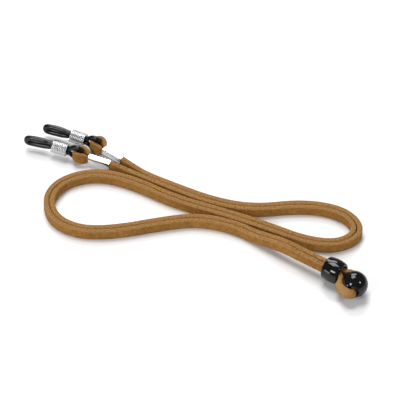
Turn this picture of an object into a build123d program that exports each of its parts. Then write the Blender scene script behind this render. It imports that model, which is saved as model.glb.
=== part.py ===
"""Eyeglass retainer strap laid in loose loops on a table.

A flat suede lace is doubled along its whole length and stands on its edge.
Its fold passes through a ball bead, both strands pass through a barrel bead
that slides, and each end is folded into a small loop held by a metal crimp.
A rubber loop for a spectacle temple links through each end loop and is
gathered by a spring coil.  Millimetres, +Z up, origin on the table.
"""
import math
import os

from build123d import *

# lace
lace_width = 3.5
lace_thickness = 1.75
strand_gap = 0.1
fold_thickness = 1.4
end_layer = 0.72

# heights of centre lines above the table
bead_height = 4.2
crimp_height = 2.7
link_height = 3.45

# beads
ball_diameter = 8.4
ball_bore = 4.0
barrel_length = 5.9
barrel_middle_diameter = 7.8
barrel_end_diameter = 7.0
barrel_bore = 5.2
barrel_edge = 0.6
bore_edge = 0.3

# crimps and end loops of the lace
crimp_length = 7.6
crimp_thickness = 2.2
crimp_width = 3.1
crimp_sheet = 0.3
crimp_corner = 0.5
crimp_seam = 0.34
loop_reach = 3.3
loop_hole_radius = 1.05
loop_outer_radius = 2.25
loop_pinched_width = 2.5

# rubber loops and spring coils, measured along the link from the rubber bend
rubber_diameter = 1.6
eye_half_height = 2.4
gathered_half_height = 0.82
temple_half_height = 1.25
temple_bend = 0.8
eye_arm_end = 2.3
eye_neck = 3.9
coil_start = 4.4
coil_length = 5.8
neck_end = 11.4
temple_arm_start = 13.6
link_reach = 19.0
coil_wire = 0.5
coil_inner_diameter = 3.4
coil_turns = 9
link_radii = [1.6, 1.5, 1.5, 1.8, 1.8, 1.2]

# plan of the line between the two strands, from the barrel bead to the ends
barrel_centre = (44.4, -29.3)
slider_stop = (34.6, -22.3)
ramp_low = (19.8, -11.7)
ramp_high = (28.1, -17.6)
middle_line = [
    barrel_centre,
    (14.5, -8.0), (5.5, -4.8), (-4.0, -4.5), (-29.5, -11.0), (-42.5, -7.0),
    (-47.0, 3.3), (-43.0, 12.6), (-31.5, 17.1), (-19.0, 13.1), (-5.5, 4.2),
    (10.5, -2.1), (24.5, -8.6), (35.5, -14.6), (46.5, -16.4), (53.7, -10.3),
    (49.2, -1.5), (36.5, 2.2), (19.5, -0.2), (6.5, 3.2), (-6.5, 10.1),
    (-14.5, 14.4),
]
front_tail = [(-20.5, 17.3), (-26.7, 20.2)]
rear_tail = [(-13.0, 14.8), (-17.2, 17.7), (-22.9, 22.2)]

# plan of the fold, along and left of the strap, measured from the barrel centre
fold_start = 1.0
ball_offset = (8.4, -1.2)
fold_line = [
    (fold_start, -0.925), (3.3, -0.925), (4.15, -4.65), (7.25, -6.35),
    (9.15, -6.15), (9.8, -5.15), (7.05, 2.6), (5.8, 3.0),
    (3.0, 0.925), (fold_start, 0.925),
]

# directions in plan, in degrees
front_loop_turn = 0
rear_loop_turn = -12
front_link_angle = 156.5
rear_link_angle = 153.5


def unit(start, end):
    """Direction in plan from one point to another."""
    length = math.dist(start, end)
    return ((end[0] - start[0]) / length, (end[1] - start[1]) / length)


def turned(direction, degrees):
    """A plan direction turned to the left."""
    angle = math.radians(degrees)
    return (
        direction[0] * math.cos(angle) - direction[1] * math.sin(angle),
        direction[0] * math.sin(angle) + direction[1] * math.cos(angle),
    )


def moved(point, direction, amount):
    """A plan point moved along a direction."""
    return (point[0] + direction[0] * amount, point[1] + direction[1] * amount)


def half_turns(points):
    """Half the signed turn at each inner corner, in radians."""
    halves = []
    for before, here, after in zip(points, points[1:], points[2:]):
        a = unit(before, here)
        b = unit(here, after)
        halves.append(math.atan2(a[0] * b[1] - a[1] * b[0], a[0] * b[0] + a[1] * b[1]) / 2)
    return halves


def bend_radii(points):
    """Bend radius at each inner corner, from the shorter run beside it."""
    radii = []
    for index, half in enumerate(half_turns(points)):
        shorter = min(
            math.dist(points[index], points[index + 1]),
            math.dist(points[index + 1], points[index + 2]),
        )
        radii.append(0.45 * shorter / math.tan(abs(half)))
    return radii


def beside(points, shift):
    """The same route moved to its left, each run staying parallel."""
    halves = [0.0] + half_turns(points) + [0.0]
    moved_points = []
    for index, point in enumerate(points):
        if index == 0:
            direction = unit(points[0], points[1])
        else:
            direction = turned(unit(points[index - 1], point), math.degrees(halves[index]))
        left = turned(direction, 90)
        moved_points.append(moved(point, left, shift / math.cos(halves[index])))
    return moved_points


def band_face(points, thickness):
    """Flat outline of a strip of the given thickness that follows a route."""
    radii = bend_radii(points)
    halves = half_turns(points)
    edges = []
    for shift in (thickness / 2, -thickness / 2):
        edge_radii = [r - math.copysign(shift, h * shift) for r, h in zip(radii, halves)]
        edges.append((beside(points, shift), edge_radii))
    with BuildSketch() as flat:
        with BuildLine():
            left = FilletPolyline(*edges[0][0], radius=edges[0][1])
            right = FilletPolyline(*edges[1][0], radius=edges[1][1])
            Line(left @ 0, right @ 0)
            Line(left @ 1, right @ 1)
        make_face()
    return flat.sketch


def rise_face(low_start, low_end, high_start, high_end, low, high, width):
    """Side outline of a strip that lifts from one height to another."""
    corners = [(low_start, low), (low_end, low), (high_start, high), (high_end, high)]
    radii = bend_radii(corners)
    with BuildSketch() as side:
        with BuildLine():
            top = FilletPolyline(*[(s, z + width / 2) for s, z in corners], radius=radii)
            bottom = FilletPolyline(*[(s, z - width / 2) for s, z in corners], radius=radii)
            Line(top @ 0, bottom @ 0)
            Line(top @ 1, bottom @ 1)
        make_face()
    return side.sketch


def upright_plane(origin, direction, height=0.0):
    """Upright plane whose x axis runs along a plan direction."""
    return Plane(
        origin=(origin[0], origin[1], height),
        x_dir=(direction[0], direction[1], 0),
        z_dir=(direction[1], -direction[0], 0),
    )


def section_plane(origin, direction, height):
    """Plane across a plan direction, its x axis to the left and y axis up."""
    left = turned(direction, 90)
    return Plane(
        origin=(origin[0], origin[1], height),
        x_dir=(left[0], left[1], 0),
        z_dir=(direction[0], direction[1], 0),
    )


def flat_plane(origin, direction, height):
    """Level plane whose x axis runs along a plan direction."""
    return Plane(
        origin=(origin[0], origin[1], height),
        x_dir=(direction[0], direction[1], 0),
        z_dir=(0, 0, 1),
    )


def save(builder, name):
    """Label one piece, check it is a single solid and write it."""
    builder.part.label = name
    assert len(builder.part.solids()) == 1, name
    assert builder.part.is_valid, name
    export_step(builder.part, f"parts/{name}.step")
    print(f"{name}: {builder.part.volume:.2f} mm3")


os.makedirs("parts", exist_ok=True)

half_pitch = (lace_thickness + strand_gap) / 2
floor_centre = lace_width / 2
strap_direction = unit(middle_line[1], barrel_centre)
ramp_low_run = math.dist(ramp_low, barrel_centre)
ramp_high_run = math.dist(ramp_high, barrel_centre)
floor_end_run = ramp_low_run + 2.0

front_route = beside(middle_line, half_pitch)[:-1] + front_tail
rear_route = beside(middle_line, -half_pitch)[:-1] + rear_tail

for name, route in (("front strand", front_route), ("rear strand", rear_route)):
    print(name, "bend radii", [round(r, 1) for r in bend_radii(route)])
print("fold bend radii", [round(r, 2) for r in bend_radii(fold_line)])
print("slider travel", round(math.dist(slider_stop, barrel_centre), 2))


def strand(route, side):
    """Both lifts and the stretch on the table of one strand, as three faces."""
    shift = side * half_pitch
    start = moved(route[0], strap_direction, -floor_end_run)
    last = unit(route[-2], route[-1])
    stop = moved(route[-1], last, -5.6)
    on_table = band_face([start] + route[1:-1] + [stop], lace_thickness)
    bead_lift = rise_face(
        -floor_end_run, -ramp_low_run, -ramp_high_run, fold_start,
        floor_centre, bead_height, lace_width,
    )
    bead_plane = upright_plane(
        moved(barrel_centre, turned(strap_direction, 90), -shift), strap_direction
    )
    crimp_lift = rise_face(-5.6, -4.4, -1.2, 0, floor_centre, crimp_height, lace_width)
    crimp_plane = upright_plane(route[-1], last)
    return on_table, bead_lift, bead_plane, crimp_lift, crimp_plane


front_faces = strand(front_route, 1)
with BuildPart() as front_strand:
    with BuildSketch(Plane.XY):
        add(front_faces[0])
    extrude(amount=lace_width)
    with BuildSketch(front_faces[2]):
        add(front_faces[1])
    extrude(amount=lace_thickness / 2, both=True)
    with BuildSketch(front_faces[4]):
        add(front_faces[3])
    extrude(amount=lace_thickness / 2, both=True)
save(front_strand, "front_strand")

rear_faces = strand(rear_route, -1)
with BuildPart() as rear_strand:
    with BuildSketch(Plane.XY):
        add(rear_faces[0])
    extrude(amount=lace_width)
    with BuildSketch(rear_faces[2]):
        add(rear_faces[1])
    extrude(amount=lace_thickness / 2, both=True)
    with BuildSketch(rear_faces[4]):
        add(rear_faces[3])
    extrude(amount=lace_thickness / 2, both=True)
save(rear_strand, "rear_strand")

with BuildPart() as ball_bight:
    with BuildSketch(flat_plane(barrel_centre, strap_direction, bead_height - lace_width / 2)):
        add(band_face(fold_line, fold_thickness))
    extrude(amount=lace_width)
save(ball_bight, "ball_bight")

# beads
with BuildPart() as slider_bead:
    with BuildSketch(upright_plane(barrel_centre, strap_direction, bead_height)) as profile:
        with BuildLine():
            end = barrel_length / 2
            bore = barrel_bore / 2
            rim = barrel_end_diameter / 2
            ThreePointArc((-end, rim), (0, barrel_middle_diameter / 2), (end, rim))
            Polyline(
                (end, rim), (end, bore + bore_edge), (end - bore_edge, bore),
                (bore_edge - end, bore), (-end, bore + bore_edge), (-end, rim),
            )
        make_face()
        fillet(profile.vertices().sort_by(Axis.Y)[-2:], barrel_edge)
    revolve(
        axis=Axis(
            (barrel_centre[0], barrel_centre[1], bead_height),
            (strap_direction[0], strap_direction[1], 0),
        )
    )
save(slider_bead, "slider_bead")

left_of_strap = turned(strap_direction, 90)
ball_centre = moved(
    moved(barrel_centre, strap_direction, ball_offset[0]), left_of_strap, ball_offset[1]
)
fold_in_bore = unit(fold_line[5], fold_line[6])
bore_direction = (
    strap_direction[0] * fold_in_bore[0] + left_of_strap[0] * fold_in_bore[1],
    strap_direction[1] * fold_in_bore[0] + left_of_strap[1] * fold_in_bore[1],
)
with BuildPart() as ball_bead:
    with Locations((ball_centre[0], ball_centre[1], bead_height)):
        Sphere(ball_diameter / 2)
    with BuildSketch(section_plane(ball_centre, bore_direction, bead_height)):
        Circle(ball_bore / 2)
    extrude(amount=ball_diameter, both=True, mode=Mode.SUBTRACT)
    fillet(ball_bead.edges().filter_by(GeomType.CIRCLE), bore_edge)
save(ball_bead, "ball_bead")
print("ball centre", ball_centre, "bore direction", bore_direction)


def crimp_face(seam_height):
    """Section of the folded crimp, open along a narrow seam on its near side."""
    with BuildSketch() as section:
        RectangleRounded(crimp_thickness, crimp_width, crimp_corner)
        RectangleRounded(
            crimp_thickness - 2 * crimp_sheet, crimp_width - 2 * crimp_sheet,
            crimp_corner - crimp_sheet, mode=Mode.SUBTRACT,
        )
        with Locations(((crimp_thickness - crimp_sheet) / 2, seam_height)):
            Rectangle(crimp_sheet * 2, crimp_seam, mode=Mode.SUBTRACT)
    return section.sketch


def layers_face():
    """Section of the two lace layers squeezed in a crimp."""
    with BuildSketch() as section:
        offset_x = (end_layer + strand_gap) / 2
        with Locations((offset_x, 0), (-offset_x, 0)):
            Rectangle(end_layer, crimp_width - 2 * crimp_sheet - 0.24)
    return section.sketch


def end_loop_face():
    """Plan of a lace end loop, a rounded tear shape with a tear-shaped hole."""
    with BuildSketch() as plan:
        with BuildLine():
            CenterArc((loop_reach, 0), loop_outer_radius, 0, 360)
            Line((-0.15, 0.68), (-0.15, -0.68))
        make_hull()
        with BuildSketch(mode=Mode.SUBTRACT) as hole:
            with BuildLine():
                CenterArc((loop_reach, 0), loop_hole_radius, 0, 360)
                Line((0.7, 0.05), (0.7, -0.05))
            make_hull()
    return plan.sketch


def end_loop_side():
    """Side outline of a lace end loop, pinched low where the rubber passes."""
    rise = link_height - crimp_height
    pinched = loop_pinched_width / 2
    with BuildSketch() as side:
        with BuildLine():
            Polyline(
                (-0.5, 1.12), (0.1, 1.12), (1.4, rise / 2 + 1.65), (2.4, rise + pinched),
                (7.0, rise + pinched), (7.0, rise - pinched), (2.4, rise - pinched),
                (1.4, rise / 2 - 1.5), (0.1, -1.12), (-0.5, -1.12), close=True,
            )
        make_face()
    return side.sketch


loops = {}
for side_name, route, loop_turn, seam in (
    ("front", front_route, front_loop_turn, 0.75),
    ("rear", rear_route, rear_loop_turn, -0.55),
):
    along = unit(route[-2], route[-1])
    far_end = moved(route[-1], along, crimp_length)
    loop_direction = turned(along, loop_turn)
    with BuildPart() as crimp:
        with BuildSketch(section_plane(route[-1], along, crimp_height)):
            add(crimp_face(seam))
        extrude(amount=crimp_length)
    save(crimp, f"{side_name}_crimp")
    with BuildPart() as end_loop:
        with BuildSketch(flat_plane(far_end, loop_direction, crimp_height - 3)):
            add(end_loop_face())
        extrude(amount=6)
        with BuildSketch(upright_plane(far_end, loop_direction, crimp_height)):
            add(end_loop_side())
        extrude(amount=4, both=True, mode=Mode.INTERSECT)
        with BuildSketch(section_plane(route[-1], along, crimp_height)):
            add(layers_face())
        extrude(amount=crimp_length + 0.2)
    save(end_loop, f"{side_name}_lace_loop")
    loops[side_name] = moved(far_end, loop_direction, loop_reach - 0.1)

# rubber loops and spring coils
def strand_of_link(side):
    """Half of the rubber ring: along the link, to its left, and up."""
    points = [
        (0.0, 0.0, 0.0),
        (0.0, 0.0, eye_half_height),
        (eye_arm_end, 0.0, eye_half_height),
        (eye_neck, 0.0, gathered_half_height),
        (neck_end, 0.0, gathered_half_height),
        (temple_arm_start, temple_bend / 8, temple_half_height),
        (link_reach, temple_bend, temple_half_height),
        (link_reach, temple_bend, 0.0),
    ]
    return [(along, left, side * up) for along, left, up in points]


for side_name, angle in (("front", front_link_angle), ("rear", rear_link_angle)):
    along = turned((1, 0), angle)
    link = flat_plane(loops[side_name], along, link_height)
    with BuildPart() as rubber_loop:
        for side in (1, -1):
            corners = [link.from_local_coords(Vector(*point)) for point in strand_of_link(side)]
            with BuildLine() as rubber_line:
                FilletPolyline(*corners, radius=link_radii)
            with BuildSketch(Plane(origin=rubber_line.line @ 0, z_dir=rubber_line.line % 0)):
                Circle(rubber_diameter / 2)
            sweep()
    save(rubber_loop, f"{side_name}_rubber_loop")

    coil_radius = (coil_inner_diameter + coil_wire) / 2
    coil_origin = moved(loops[side_name], along, coil_start + coil_wire / 2)
    with BuildPart() as spring_coil:
        with BuildLine() as coil_line:
            Helix(
                pitch=(coil_length - coil_wire) / coil_turns,
                height=coil_length - coil_wire,
                radius=coil_radius,
                center=(coil_origin[0], coil_origin[1], link_height),
                direction=(along[0], along[1], 0),
            )
        with BuildSketch(Plane(origin=coil_line.line @ 0, z_dir=coil_line.line % 0)):
            Circle(coil_wire / 2)
        sweep(is_frenet=True)
    save(spring_coil, f"{side_name}_spring_coil")
    print(side_name, "link pivot", loops[side_name], "along", along)
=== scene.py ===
"""Looks for the eyeglass retainer strap.

Suede lace, rubber loops, chrome coils and crimps, black beads.
"""
import math

import bpy
import bmesh
from mathutils import Matrix, Vector


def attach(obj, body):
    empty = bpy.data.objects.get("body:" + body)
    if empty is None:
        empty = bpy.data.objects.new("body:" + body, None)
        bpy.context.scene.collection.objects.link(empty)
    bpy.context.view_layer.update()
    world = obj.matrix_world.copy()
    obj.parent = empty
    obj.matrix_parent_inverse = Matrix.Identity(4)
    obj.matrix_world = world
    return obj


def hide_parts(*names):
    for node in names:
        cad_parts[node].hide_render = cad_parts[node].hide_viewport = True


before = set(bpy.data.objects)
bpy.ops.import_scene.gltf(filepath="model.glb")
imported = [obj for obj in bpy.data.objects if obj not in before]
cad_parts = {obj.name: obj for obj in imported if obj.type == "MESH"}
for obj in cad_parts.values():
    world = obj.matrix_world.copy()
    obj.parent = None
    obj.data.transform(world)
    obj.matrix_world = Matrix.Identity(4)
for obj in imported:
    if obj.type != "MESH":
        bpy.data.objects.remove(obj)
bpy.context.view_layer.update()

# ---------------------------------------------------------------- sizes, in metres
LACE_WIDTH = 0.0035
LACE_THICKNESS = 0.00175
STRAND_GAP = 0.0001
FOLD_THICKNESS = 0.0014
FLOOR_CENTRE = 0.00175
BEAD_HEIGHT = 0.0042
CRIMP_HEIGHT = 0.0027
LINK_HEIGHT = 0.00345
CRIMP_LENGTH = 0.0076
LOOP_REACH = 0.0033
PIVOT_INSET = 0.0001
RUBBER = 0.0016
ROUND_SIDES = 24
CORNER_STEPS = 4

# the lace's section, all as half sizes
LACE_SLACK = 0.00004
LACE_CROWN = 0.00002
THICKNESS_WAVE = 0.000018
WIDTH_WAVE = 0.00002
LACE_CORNER = 0.00036
ON_FOLD_NARROWER = 0.00022
ON_FOLD_CORNER_LESS = 0.00008
IN_BALL_THINNER = 0.00010
IN_BALL_NARROWER = 0.00035
ON_BALL_LEAN = math.radians(32)

# the folded ends' section, and where along them it changes
END_HALF_THICKNESS = 0.00064
END_HALF_WIDTH = 0.00174
END_CORNER = 0.00024
SQUEEZED_THINNER = 0.00032
SQUEEZED_NARROWER = 0.00062
PINCHED_NARROWER = 0.00038
CRIMPED_LENGTH = 0.0046
OPENING_LENGTH = 0.0026
PINCH_FROM = 0.72
PINCH_SHARE = 0.28
END_LEAN = math.radians(27)

# the rubber is a little thicker in the temple loop than in the coil
TEMPLE_THICKER = 0.00012
TEMPLE_FROM = 0.0112
TEMPLE_RUN = 0.0022

# the route's points, the same as the CAD's
BARREL = (0.0444, -0.0293)
SLIDER_STOP = (0.0346, -0.0223)
RAMP_HIGH = (0.0281, -0.0176)
RAMP_LOW = (0.0198, -0.0117)
MIDDLE = [
    (0.0145, -0.0080), (0.0055, -0.0048), (-0.0040, -0.0045), (-0.0295, -0.0110),
    (-0.0425, -0.0070), (-0.0470, 0.0033), (-0.0430, 0.0126), (-0.0315, 0.0171),
    (-0.0190, 0.0131), (-0.0055, 0.0042), (0.0105, -0.0021), (0.0245, -0.0086),
    (0.0355, -0.0146), (0.0465, -0.0164), (0.0537, -0.0103), (0.0492, -0.0015),
    (0.0365, 0.0022), (0.0195, -0.0002), (0.0065, 0.0032), (-0.0065, 0.0101),
    (-0.0145, 0.0144),
]
FRONT_TAIL = [(-0.0205, 0.0173), (-0.0267, 0.0202)]
REAR_TAIL = [(-0.0130, 0.0148), (-0.0172, 0.0177), (-0.0229, 0.0222)]
FOLD = [
    (0.0010, -0.000925, 0.0042), (0.0033, -0.000925, 0.0042), (0.00430, -0.00440, 0.0044),
    (0.00740, -0.00600, 0.0045), (0.00950, -0.00615, 0.0045), (0.01035, -0.00480, 0.0042),
    (0.00700, 0.00285, 0.0034), (0.0054, 0.0030, 0.0034), (0.0031, 0.000925, 0.0040),
    (0.0010, 0.000925, 0.0042),
]


# ---------------------------------------------------------------- plan geometry
def unit(a, b):
    length = math.hypot(b[0] - a[0], b[1] - a[1])
    return ((b[0] - a[0]) / length, (b[1] - a[1]) / length)


def turned(d, degrees):
    a = math.radians(degrees)
    return (d[0] * math.cos(a) - d[1] * math.sin(a), d[0] * math.sin(a) + d[1] * math.cos(a))


def moved(p, d, amount):
    return (p[0] + d[0] * amount, p[1] + d[1] * amount)


def beside(points, shift):
    """The route of one strand: the middle line's points moved to its left."""
    out = []
    for i, p in enumerate(points):
        before = unit(points[i - 1], p) if i else unit(p, points[1])
        after = unit(p, points[i + 1]) if i + 1 < len(points) else before
        half = math.atan2(
            before[0] * after[1] - before[1] * after[0],
            before[0] * after[0] + before[1] * after[1],
        ) / 2
        out.append(moved(p, turned(before, math.degrees(half) + 90), shift / math.cos(half)))
    return out


STRAP = unit(MIDDLE[0], BARREL)
LEFT = turned(STRAP, 90)
HALF_PITCH = (LACE_THICKNESS + STRAND_GAP) / 2


def strand(shift, tail):
    """A strand's points from the beads to its crimp, with their heights."""
    line = beside([BARREL, SLIDER_STOP, RAMP_HIGH, RAMP_LOW] + MIDDLE, shift)[1:-1] + tail
    heights = [BEAD_HEIGHT, BEAD_HEIGHT] + [FLOOR_CENTRE] * (len(line) - 3) + [CRIMP_HEIGHT]
    return [(p[0], p[1], z) for p, z in zip(line, heights)]


def on_strap(a, b, z):
    return (
        BARREL[0] + STRAP[0] * a + LEFT[0] * b,
        BARREL[1] + STRAP[1] * a + LEFT[1] * b,
        z,
    )


front_points = strand(HALF_PITCH, FRONT_TAIL)
rear_points = strand(-HALF_PITCH, REAR_TAIL)
lace_points = front_points[::-1] + [on_strap(*point) for point in FOLD] + rear_points


# ---------------------------------------------------------------- curves and meshes
def spline_points(name, points, cyclic=False, resolution=24):
    """Points along one smooth NURBS spline with these control points."""
    data = bpy.data.curves.new(name, "CURVE")
    data.dimensions = "3D"
    s = data.splines.new("NURBS")
    s.points.add(len(points) - 1)
    for p, c in zip(s.points, points):
        p.co = (c[0], c[1], c[2], 1.0)
    s.order_u = 3
    s.use_cyclic_u = cyclic
    s.use_endpoint_u = not cyclic
    s.resolution_u = resolution
    obj = bpy.data.objects.new(name, data)
    bpy.context.scene.collection.objects.link(obj)
    bpy.context.view_layer.update()
    mesh = bpy.data.meshes.new_from_object(obj)
    out = [v.co.copy() for v in mesh.vertices]
    bpy.data.objects.remove(obj)
    bpy.data.curves.remove(data)
    bpy.data.meshes.remove(mesh)
    return out


def add_object(name, bm, material, smooth=True):
    mesh = bpy.data.meshes.new(name)
    bm.normal_update()
    bm.to_mesh(mesh)
    bm.free()
    obj = bpy.data.objects.new(name, mesh)
    bpy.context.scene.collection.objects.link(obj)
    mesh.materials.append(material)
    for p in mesh.polygons:
        p.use_smooth = smooth
    return obj


def rounded_section(half_t, half_w, radius, crown):
    """Section of the lace: across its thickness and up its width."""
    out = []
    corners = [(1, 1, 0), (-1, 1, 90), (-1, -1, 180), (1, -1, 270)]
    for sx, sz, start in corners:
        for k in range(CORNER_STEPS + 1):
            a = math.radians(start + k * 90 / CORNER_STEPS)
            out.append((
                sx * (half_t - radius) + radius * math.cos(a),
                sz * (half_w - radius) + radius * math.sin(a),
            ))
        # points along the next side, slightly crowned
        if sx * sz > 0:
            for f in (0.25, 0.5, 0.75):
                x = sx * (half_t - radius) * (1 - 2 * f)
                out.append((x, sz * (half_w + crown * math.sin(math.pi * f))))
        else:
            for f in (0.2, 0.4, 0.6, 0.8):
                z = sz * (half_w - radius) * (1 - 2 * f)
                out.append((sx * (half_t + crown * math.sin(math.pi * f)), z))
    return out


def band_mesh(name, path, size_at, material):
    """A flat lace standing on its edge along a path, with u along it and v round it."""
    bm = bmesh.new()
    uv = bm.loops.layers.uv.new("lace")
    n = len(path)
    lengths = [0.0]
    for a, b in zip(path, path[1:]):
        lengths.append(lengths[-1] + (b - a).length)
    total = lengths[-1]
    rings = []
    vs = None
    for i, p in enumerate(path):
        a = path[max(0, i - 1)]
        b = path[min(n - 1, i + 1)]
        d = Vector((b.x - a.x, b.y - a.y, 0)).normalized()
        left = Vector((-d.y, d.x, 0))
        half_t, half_w, radius, crown, lean = size_at(lengths[i], total, p)
        across = left * math.cos(lean) - Vector((0, 0, math.sin(lean)))
        upward = left * math.sin(lean) + Vector((0, 0, math.cos(lean)))
        section = rounded_section(half_t, half_w, radius, crown)
        if vs is None:
            vs = [0.0]
            for q, r in zip(section, section[1:] + section[:1]):
                vs.append(vs[-1] + math.hypot(r[0] - q[0], r[1] - q[1]))
        rings.append([bm.verts.new(p + across * x + upward * z) for x, z in section])
    m = len(rings[0])
    for i in range(n - 1):
        for j in range(m):
            k = (j + 1) % m
            f = bm.faces.new((rings[i][j], rings[i + 1][j], rings[i + 1][k], rings[i][k]))
            u0, u1, v0, v1 = lengths[i], lengths[i + 1], vs[j], vs[j + 1]
            for loop, place in zip(f.loops, ((u0, v0), (u1, v0), (u1, v1), (u0, v1))):
                loop[uv].uv = place
    bm.faces.new(rings[0])
    bm.faces.new(rings[-1][::-1])
    bmesh.ops.recalc_face_normals(bm, faces=bm.faces)
    return add_object(name, bm, material)


def tube_mesh(name, path, radius_at, material):
    """A round tube along a closed path, turning as little as it can from ring to ring."""
    bm = bmesh.new()
    n = len(path)
    rings = []
    normal = None
    frames = []
    for i, p in enumerate(path):
        t = (path[(i + 1) % n] - path[i - 1]).normalized()
        if normal is None:
            normal = t.cross(Vector((0, 0, 1)))
            if normal.length < 0.1:
                normal = t.cross(Vector((1, 0, 0)))
        normal = (normal - t * normal.dot(t)).normalized()
        frames.append((p, t, normal.copy()))
    p, t, first = frames[0]
    last = (frames[-1][2] - t * frames[-1][2].dot(t)).normalized()
    twist = math.atan2(last.cross(first).dot(t), last.dot(first))
    for i, (p, t, nrm) in enumerate(frames):
        side = Matrix.Rotation(twist * i / n, 3, t) @ nrm
        up = t.cross(side)
        r = radius_at(p)
        ring = []
        for j in range(ROUND_SIDES):
            a = 2 * math.pi * j / ROUND_SIDES
            ring.append(bm.verts.new(p + side * (r * math.cos(a)) + up * (r * math.sin(a))))
        rings.append(ring)
    for i in range(n):
        for j in range(ROUND_SIDES):
            k = (j + 1) % ROUND_SIDES
            q = rings[(i + 1) % n]
            bm.faces.new((rings[i][j], q[j], q[k], rings[i][k]))
    bmesh.ops.recalc_face_normals(bm, faces=bm.faces)
    return add_object(name, bm, material)


# ---------------------------------------------------------------- materials
class Nodes:
    """A small helper that adds and joins shader nodes."""

    def __init__(self, name):
        self.material = bpy.data.materials.new(name)
        self.material.use_nodes = True
        self.tree = self.material.node_tree
        self.shader = self.tree.nodes["Principled BSDF"]

    def add(self, kind, **values):
        node = self.tree.nodes.new(kind)
        for key, value in values.items():
            setattr(node, key, value)
        return node

    def settings(self, values):
        for key, value in values.items():
            self.shader.inputs[key].default_value = value

    def place(self):
        return self.add("ShaderNodeTexCoord").outputs["Object"]

    def join(self, a, b):
        self.tree.links.new(a, b)

    def noise(self, vector, scale, detail=3.0, roughness=0.55):
        node = self.add("ShaderNodeTexNoise")
        node.inputs["Scale"].default_value = scale
        node.inputs["Detail"].default_value = detail
        node.inputs["Roughness"].default_value = roughness
        self.join(vector, node.inputs["Vector"])
        return node.outputs["Fac"]

    def ramp(self, value, stops):
        node = self.add("ShaderNodeValToRGB")
        elements = node.color_ramp.elements
        while len(elements) < len(stops):
            elements.new(0.5)
        for element, (place, colour) in zip(elements, stops):
            element.position = place
            element.color = (*colour, 1.0)
        self.join(value, node.inputs["Fac"])
        return node.outputs["Color"]

    def mix(self, kind, factor, a, b):
        node = self.add("ShaderNodeMix", data_type="RGBA", blend_type=kind)
        if isinstance(factor, float):
            node.inputs["Factor"].default_value = factor
        else:
            self.join(factor, node.inputs["Factor"])
        for socket, value in (("A", a), ("B", b)):
            target = [s for s in node.inputs if s.name == socket and s.type == "RGBA"][0]
            if isinstance(value, tuple):
                target.default_value = (*value, 1.0)
            else:
                self.join(value, target)
        return [s for s in node.outputs if s.type == "RGBA"][0]

    def math(self, operation, a, b=None):
        node = self.add("ShaderNodeMath", operation=operation)
        for socket, value in zip(node.inputs, (a, b)):
            if value is None:
                continue
            if isinstance(value, (int, float)):
                socket.default_value = value
            else:
                self.join(value, socket)
        return node.outputs["Value"]

    def bump(self, height, strength, distance):
        node = self.add("ShaderNodeBump")
        node.inputs["Strength"].default_value = strength
        node.inputs["Distance"].default_value = distance
        self.join(height, node.inputs["Height"])
        self.join(node.outputs["Normal"], self.shader.inputs["Normal"])


def suede():
    n = Nodes("suede")
    place = n.place()
    broad = n.noise(place, 90.0, 2.0)
    mottle = n.noise(place, 900.0, 4.0, 0.6)
    nap = n.noise(place, 5200.0, 4.0, 0.7)
    face = n.ramp(mottle, [
        (0.25, (0.225, 0.100, 0.019)), (0.5, (0.335, 0.158, 0.034)), (0.78, (0.445, 0.228, 0.058)),
    ])
    patches = n.ramp(broad, [(0.3, (0.74, 0.72, 0.70)), (0.7, (1.1, 1.1, 1.1))])
    face = n.mix("MULTIPLY", 0.55, face, patches)
    fibres = n.ramp(nap, [(0.3, (0.66, 0.62, 0.56)), (0.65, (1.15, 1.15, 1.15))])
    face = n.mix("MULTIPLY", 0.6, face, fibres)
    # the cut edges that face up and down are paler and greyer, with darker flecks
    normal = n.add("ShaderNodeNewGeometry").outputs["Normal"]
    split = n.add("ShaderNodeSeparateXYZ")
    n.join(normal, split.inputs["Vector"])
    upward = n.math("ABSOLUTE", split.outputs["Z"])
    # mask of the rounded corners between the faces and the cut edges, for a painted highlight
    rim_highlight_mask = n.ramp(upward, [(0.25, (0, 0, 0)), (0.55, (1, 1, 1)), (0.92, (0, 0, 0))])
    upward = n.ramp(upward, [(0.55, (0, 0, 0)), (0.9, (1, 1, 1))])
    fleck = n.noise(place, 2300.0, 2.0, 0.6)
    edge = n.ramp(fleck, [
        (0.36, (0.150, 0.070, 0.018)), (0.5, (0.300, 0.150, 0.044)), (0.7, (0.400, 0.222, 0.080)),
    ])
    colour = n.mix("MIX", upward, face, edge)
    # painted highlight: the rounded corners are lightened toward a pale tan, standing in for sheen
    # catching the light
    rim_highlighted = n.mix("MIX", n.math("MULTIPLY", rim_highlight_mask, 0.35), colour, (0.50, 0.31, 0.15))
    n.join(rim_highlighted, n.shader.inputs["Base Color"])
    n.settings({
        "Roughness": 0.92, "Specular IOR Level": 0.2, "Sheen Weight": 0.12,
        "Sheen Roughness": 0.5, "Sheen Tint": (0.85, 0.60, 0.33, 1.0),
    })
    height = n.math("ADD", n.math("MULTIPLY", mottle, 0.6), n.math("MULTIPLY", nap, 0.4))
    n.bump(height, 0.55, 0.00012)
    return n.material


def chrome(name, tone, roughness, grain):
    n = Nodes(name)
    place = n.place()
    haze = n.noise(place, grain, 3.0)
    colour = n.ramp(haze, [(0.3, tuple(c * 0.9 for c in tone)), (0.7, tone)])
    n.join(colour, n.shader.inputs["Base Color"])
    n.settings({"Metallic": 1.0})
    rough = n.math("ADD", n.math("MULTIPLY", haze, roughness * 0.8), roughness * 0.6)
    n.join(rough, n.shader.inputs["Roughness"])
    n.bump(haze, 0.03, 0.00002)
    return n.material


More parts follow.
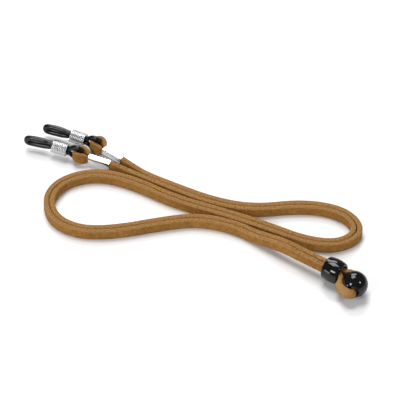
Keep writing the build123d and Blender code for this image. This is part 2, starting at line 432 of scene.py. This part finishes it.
def rubber():
    n = Nodes("rubber")
    place = n.place()
    grain = n.noise(place, 2600.0, 3.0)
    dust = n.noise(place, 700.0, 3.0, 0.65)
    colour = n.ramp(dust, [(0.35, (0.003, 0.003, 0.0035)), (0.75, (0.009, 0.009, 0.0095))])
    n.join(colour, n.shader.inputs["Base Color"])
    n.join(n.math("ADD", n.math("MULTIPLY", dust, 0.12), 0.14), n.shader.inputs["Roughness"])
    n.settings({"Specular IOR Level": 0.35})
    n.bump(grain, 0.12, 0.00004)
    return n.material


def bead():
    n = Nodes("bead_black")
    place = n.place()
    cloud = n.noise(place, 500.0, 3.0)
    colour = n.ramp(cloud, [(0.3, (0.003, 0.003, 0.004)), (0.7, (0.007, 0.007, 0.008))])
    n.join(colour, n.shader.inputs["Base Color"])
    n.join(n.math("ADD", n.math("MULTIPLY", cloud, 0.05), 0.05), n.shader.inputs["Roughness"])
    n.settings({"Specular IOR Level": 0.35})
    return n.material


SUEDE = suede()
CRIMP = chrome("crimp_chrome", (0.74, 0.745, 0.76), 0.16, 900.0)
COIL = chrome("coil_chrome", (0.78, 0.785, 0.80), 0.30, 700.0)
RUBBER_BLACK = rubber()
BEAD = bead()

# ---------------------------------------------------------------- the lace
lace_line = spline_points("lace_route", lace_points, resolution=32)


def eased(value):
    value = min(1.0, max(0.0, value))
    return value * value * (3 - 2 * value)


def lace_size(s, total, p):
    """Full section on the strands, thinner and leaning on the ball round the fold."""
    along = (p.x - BARREL[0]) * STRAP[0] + (p.y - BARREL[1]) * STRAP[1]
    across = (p.x - BARREL[0]) * LEFT[0] + (p.y - BARREL[1]) * LEFT[1]
    on_fold = eased(along / 0.0025) if abs(across) < 0.012 and p.z > 0.003 else 0.0
    in_ball = on_fold * eased((across + 0.0062) / 0.0025) * eased((along - 0.0045) / 0.002)
    wave = 0.5 * math.sin(s * 410.0) + 0.5 * math.sin(s * 173.0 + 1.3)
    half_t = LACE_THICKNESS / 2 - LACE_SLACK + THICKNESS_WAVE * wave
    half_t += (FOLD_THICKNESS / 2 - half_t) * on_fold - IN_BALL_THINNER * in_ball
    half_w = LACE_WIDTH / 2 - LACE_SLACK + WIDTH_WAVE * math.sin(s * 260.0 + 0.6)
    half_w -= ON_FOLD_NARROWER * on_fold + IN_BALL_NARROWER * in_ball
    lean = ON_BALL_LEAN * on_fold * eased((-across - 0.0012) / 0.003)
    return half_t, half_w, LACE_CORNER - ON_FOLD_CORNER_LESS * on_fold, LACE_CROWN, lean


lace = band_mesh("suede_lace", lace_line, lace_size, SUEDE)
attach(lace, "lace")
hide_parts("front_strand", "rear_strand", "ball_bight")


# ---------------------------------------------------------------- end loops, rubber loops, coils
def placed(origin, d, along, left, up):
    side = turned(d, 90)
    return Vector((
        origin[0] + d[0] * along + side[0] * left,
        origin[1] + d[1] * along + side[1] * left,
        origin[2] + up,
    ))


def end_fitting(name, tail_from, mouth, loop_turn, link_angle):
    """The folded lace end beyond a crimp, and the rubber ring linked through it."""
    d = unit(tail_from, mouth)
    far = moved(mouth, d, CRIMP_LENGTH)
    loop_d = turned(d, loop_turn)
    origin = (far[0], far[1], CRIMP_HEIGHT)
    rise = LINK_HEIGHT - CRIMP_HEIGHT
    reach = LOOP_REACH
    # plan of the folded lace end: out of the crimp, round the rubber and back into it
    inside = [(-0.0050, 0.00040), (-0.0008, 0.00040)]
    outside = [
        (0.0004, 0.00050, 0.1 * rise), (reach - 0.0014, 0.00150, 0.6 * rise),
        (reach + 0.0004, 0.00205, rise), (reach + 0.0018, 0.00125, rise),
    ]
    points = [placed(origin, d, a, b, 0) for a, b in inside]
    points += [placed(origin, loop_d, a, b, c) for a, b, c in outside]
    points += [placed(origin, loop_d, a, -b, c) for a, b, c in outside[::-1]]
    points += [placed(origin, d, a, -b, 0) for a, b in inside[::-1]]
    line = spline_points(name + "_fold", points, resolution=24)

    def size(s, total, p):
        from_end = min(s, total - s)
        squeezed = 1 - eased((from_end - CRIMPED_LENGTH) / OPENING_LENGTH)
        pinched = max(0.0, (from_end / (total / 2) - PINCH_FROM) / PINCH_SHARE) ** 0.7
        half_t = END_HALF_THICKNESS - SQUEEZED_THINNER * squeezed
        half_w = END_HALF_WIDTH - SQUEEZED_NARROWER * squeezed - PINCHED_NARROWER * pinched
        lean = END_LEAN * (1 - squeezed) * math.cos(math.pi * s / total)
        return half_t, half_w, END_CORNER, LACE_CROWN, -lean

    fold = band_mesh(name + "_suede_fold", line, size, SUEDE)
    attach(fold, "lace")
    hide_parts(name + "_lace_loop")

    pivot = moved(far, loop_d, reach - PIVOT_INSET)
    a = math.radians(link_angle)
    link_d = (math.cos(a), math.sin(a))
    link = (pivot[0], pivot[1], LINK_HEIGHT)
    # along the link, to its left as the temple loop bends, and up
    upper = [
        (0.0000, 0.0, 0.00110), (0.00005, 0.0, 0.00230), (0.0018, 0.0, 0.00243),
        (0.0033, 0.0, 0.00130), (0.0042, 0.0, 0.00083), (0.0070, 0.0, 0.00081),
        (0.0098, 0.0, 0.00082), (0.0112, 0.0, 0.00086), (0.0130, 0.00008, 0.00106),
        (0.0155, 0.00030, 0.00118), (0.0178, 0.00064, 0.00112), (0.0191, 0.00082, 0.00075),
    ]
    ring = [placed(link, link_d, s, b, r) for s, b, r in upper]
    ring += [placed(link, link_d, s, b, -r) for s, b, r in upper[::-1]]
    line = spline_points(name + "_ring", ring, cyclic=True, resolution=16)

    def thickness(p):
        along = (p.x - link[0]) * link_d[0] + (p.y - link[1]) * link_d[1]
        return RUBBER / 2 + TEMPLE_THICKER * eased((along - TEMPLE_FROM) / TEMPLE_RUN)

    loop = tube_mesh(name + "_rubber_ring", line, thickness, RUBBER_BLACK)
    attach(loop, name + "_rubber")
    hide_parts(name + "_rubber_loop")


end_fitting("front", FRONT_TAIL[-2], FRONT_TAIL[-1], 0, 156.5)
end_fitting("rear", REAR_TAIL[-2], REAR_TAIL[-1], -12, 153.5)


# ---------------------------------------------------------------- CAD pieces keep their shapes
def dress(node, material):
    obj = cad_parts[node]
    obj.data.materials.clear()
    obj.data.materials.append(material)


for end in ("front", "rear"):
    dress(end + "_crimp", CRIMP)
    dress(end + "_spring_coil", COIL)
dress("slider_bead", BEAD)
dress("ball_bead", BEAD)

# ---------------------------------------------------------------- floor, light and camera
def floor_material():
    n = Nodes("floor_white")
    place = n.place()
    cloud = n.noise(place, 8.0, 2.0)
    colour = n.ramp(cloud, [(0.3, (0.88, 0.88, 0.89)), (0.7, (0.90, 0.90, 0.905))])
    n.join(colour, n.shader.inputs["Base Color"])
    n.settings({"Roughness": 0.45, "Specular IOR Level": 0.35})
    return n.material


bm = bmesh.new()
bmesh.ops.create_grid(bm, x_segments=2, y_segments=2, size=3.0)
floor = add_object("floor", bm, floor_material(), smooth=False)


def area_light(name, place, size, power):
    """A white rectangular light aimed at the middle of the floor."""
    data = bpy.data.lights.new(name, "AREA")
    data.shape = "RECTANGLE"
    data.size, data.size_y = size
    data.energy = power
    obj = bpy.data.objects.new(name, data)
    bpy.context.scene.collection.objects.link(obj)
    obj.location = place
    obj.rotation_euler = (-Vector(place)).to_track_quat("-Z", "Y").to_euler()


area_light("overhead", (-0.10, 0.26, 0.80), (0.42, 0.36), 4.2)
area_light("back_softbox", (-0.02, 0.58, 0.56), (0.45, 0.26), 3.0)
area_light("front_left", (-0.56, -0.60, 0.58), (0.26, 0.26), 3.6)
area_light("front_right", (0.70, -0.36, 0.61), (0.18, 0.18), 1.8)
area_light("low_left", (-0.80, -0.46, 0.14), (0.34, 0.22), 1.2)

world = bpy.data.worlds.new("studio")
bpy.context.scene.world = world
world.use_nodes = True
world.node_tree.nodes["Background"].inputs["Color"].default_value = (1.0, 1.0, 1.0, 1.0)
world.node_tree.nodes["Background"].inputs["Strength"].default_value = 0.14
bpy.context.scene.view_settings.view_transform = "Standard"

target = Vector((0.0025, 0.0068, 0.0))
distance = 0.9
elevation = math.radians(44)
camera_data = bpy.data.cameras.new("camera")
camera_data.sensor_width = 36.0
camera_data.lens = 251.1
camera_data.clip_start = 0.01
camera_data.clip_end = 20.0
camera = bpy.data.objects.new("camera", camera_data)
bpy.context.scene.collection.objects.link(camera)
camera.location = target + distance * Vector((0, -math.cos(elevation), math.sin(elevation)))
camera.rotation_euler = (math.radians(90) - elevation, 0, 0)
bpy.context.scene.camera = camera
